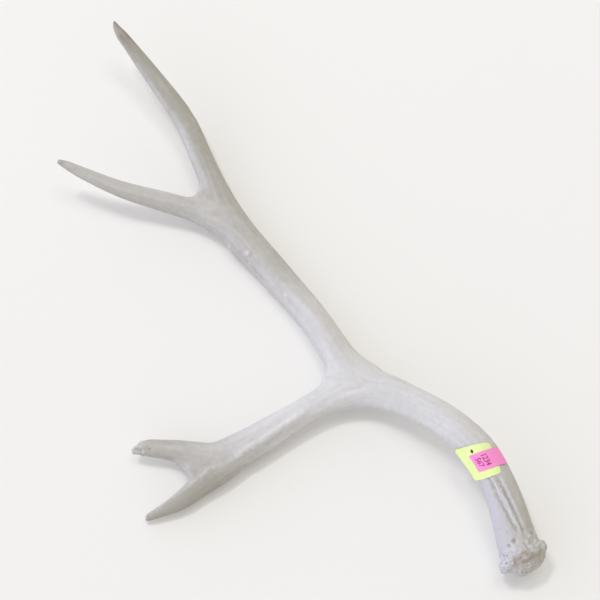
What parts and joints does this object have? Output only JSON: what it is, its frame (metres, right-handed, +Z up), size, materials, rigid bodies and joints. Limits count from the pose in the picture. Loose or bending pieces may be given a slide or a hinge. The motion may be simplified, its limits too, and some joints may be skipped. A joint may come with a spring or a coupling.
{
  "type": "deer antler",
  "caption": "Twice-forked deer antler painted light grey, lying on its side, with two paper labels stuck on the beam.",
  "frame": {"origin": "middle of the antler's footprint, on the surface that it lies on", "axes": "+Z up off the surface, +Y from the burr towards the rear tines, +X towards the burr's side"},
  "size_m": [0.4054, 0.486, 0.055],
  "materials": {
    "grey_paint": "bone under a thin coat of light lilac-grey matte to satin paint, with bare brownish bone in the pits of the burr",
    "lime_paper": "matte fluorescent yellow-green label paper",
    "pink_paper": "matte fluorescent pink price-gun label paper"
  },
  "bodies": {
    "root": {"main_beam": "grey_paint", "rear_beam": "grey_paint", "front_beam": "grey_paint", "rear_upper_tine": "grey_paint", "rear_lower_tine": "grey_paint", "front_upper_tine": "grey_paint", "front_lower_tine": "grey_paint", "lime_label": "lime_paper", "pink_label": "pink_paper"}
  },
  "joints": []
}
